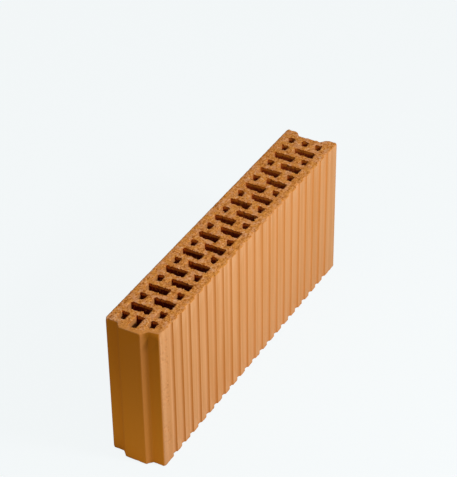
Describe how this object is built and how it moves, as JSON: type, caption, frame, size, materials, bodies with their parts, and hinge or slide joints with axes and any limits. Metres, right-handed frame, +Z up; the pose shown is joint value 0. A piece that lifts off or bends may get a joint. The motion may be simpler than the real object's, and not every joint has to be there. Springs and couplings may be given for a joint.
{
  "type": "hollow clay partition block",
  "caption": "Slender hollow fired-clay partition block with upright staggered cells, a long face ribbed with plaster keys, and a tongue-and-groove end joint.",
  "frame": {"origin": "middle of the overall length and thickness, on the lower bed face", "axes": "+X along the block towards the groove end, +Y across the wall, +Z up along the cells"},
  "size_m": [0.5074, 0.08, 0.219],
  "materials": {
    "fired_clay": "unglazed porous fired clay, wire-cut beds"
  },
  "bodies": {
    "root": {"clay_block": "fired_clay"}
  },
  "joints": []
}
